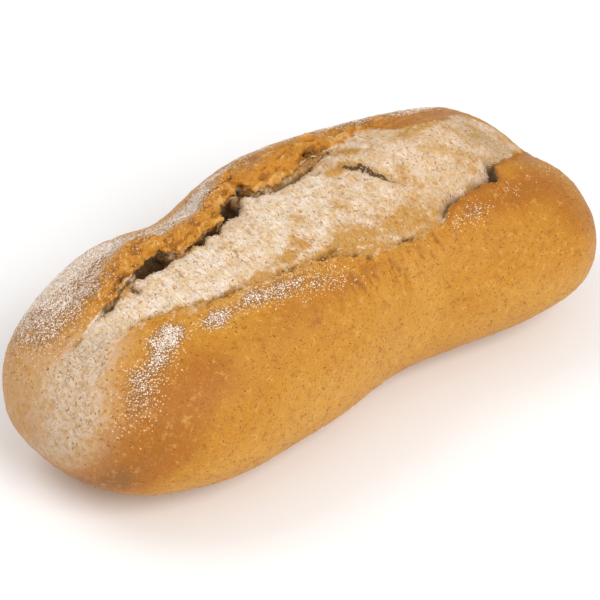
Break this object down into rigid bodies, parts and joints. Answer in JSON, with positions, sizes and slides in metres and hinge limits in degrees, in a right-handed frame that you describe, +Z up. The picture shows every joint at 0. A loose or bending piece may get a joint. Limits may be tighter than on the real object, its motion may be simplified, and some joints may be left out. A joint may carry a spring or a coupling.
{
  "type": "country bread",
  "caption": "Long hearth-baked country loaf with a slight waist, torn open along its top so that pale crumb shows between curled, floured crusts.",
  "frame": {"origin": "centre of the loaf's bounding box in plan, on the surface that it rests on", "axes": "+X along the loaf to the end that is far from the picture's camera, +Y to its back, +Z up"},
  "size_m": [0.28, 0.141, 0.0903],
  "materials": {
    "baked_crust": "matt baked crust, honey to golden brown, with pale torn crumb and white flour dust"
  },
  "bodies": {
    "root": {"loaf": "baked_crust"}
  },
  "joints": []
}
